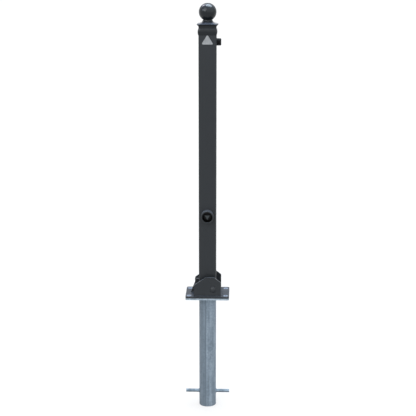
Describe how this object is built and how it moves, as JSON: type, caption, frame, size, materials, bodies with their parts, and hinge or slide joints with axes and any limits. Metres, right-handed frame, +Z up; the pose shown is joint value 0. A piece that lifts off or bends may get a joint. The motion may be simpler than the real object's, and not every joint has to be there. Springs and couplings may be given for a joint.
{
  "type": "fold-down barrier post",
  "caption": "Square powder-coated barrier post with a ball finial that folds down on a hinged base plate over a galvanised ground tube, locked by a three-sided key.",
  "frame": {"origin": "on the post's axis, at the underside of the ground tube's flange, which is the ground's surface", "axes": "+Z up along the post, +X to the side that the post folds down to, -Y to the front, where the lock is"},
  "size_m": [0.156, 0.123, 1.4355],
  "materials": {
    "galvanised": "hot-dip galvanised, dull",
    "powder_coat": "satin anthracite powder coat",
    "cast_paint": "satin anthracite powder coat on a casting",
    "zinc_plated": "bright zinc plate",
    "bare_steel": "bare",
    "black_plastic": "matt",
    "bronze": "sintered",
    "cast_zinc": "cast, dull",
    "rubber": "matt"
  },
  "bodies": {
    "base": {"ground_tube": "galvanised", "tube_flange": "galvanised", "anchor_bar": "galvanised", "hinge_plate": "powder_coat", "flange_screws": "zinc_plated", "front_cheek": "powder_coat", "rear_cheek": "powder_coat", "stop_rib": "powder_coat", "pivot_bolt": "powder_coat", "pivot_washer": "zinc_plated", "pivot_nut": "zinc_plated"},
    "post": {"post_tube": "powder_coat", "foot_plate": "powder_coat", "rod_guide": "bare_steel", "pivot_bush": "powder_coat", "pivot_spacers": "zinc_plated", "lock_collar": "powder_coat", "lock_cup": "black_plastic", "spindle_bearing": "bronze", "rubber_buffer": "rubber", "buffer_stud": "zinc_plated", "buffer_washer": "zinc_plated", "buffer_nut": "zinc_plated", "ball_cap": "cast_paint"},
    "key": {"key_spindle": "cast_zinc", "crank_disc": "bare_steel", "crank_pin": "bare_steel", "spindle_clip": "bare_steel"},
    "rod": {"lock_rod": "zinc_plated", "rod_yoke": "bare_steel", "yoke_pin": "bare_steel"}
  },
  "joints": [
    {"name": "post_fold", "type": "hinge", "parent": "base", "child": "post", "pos_m": [0.02, 0, 0.037], "axis": [0, 1, 0], "range_deg": [0, 90]},
    {"name": "key_turn", "type": "hinge", "parent": "post", "child": "key", "pos_m": [0, -0.03, 0.297], "axis": [0, 1, 0], "range_deg": [0, 90]},
    {"name": "rod_slide", "type": "slide", "parent": "post", "child": "rod", "axis": [0, 0, -1], "range_m": [0, 0.0198]}
  ],
  "couplings": [
    {"joint": "key_turn", "follows": "rod_slide", "rad_per_m": 79.33}
  ]
}
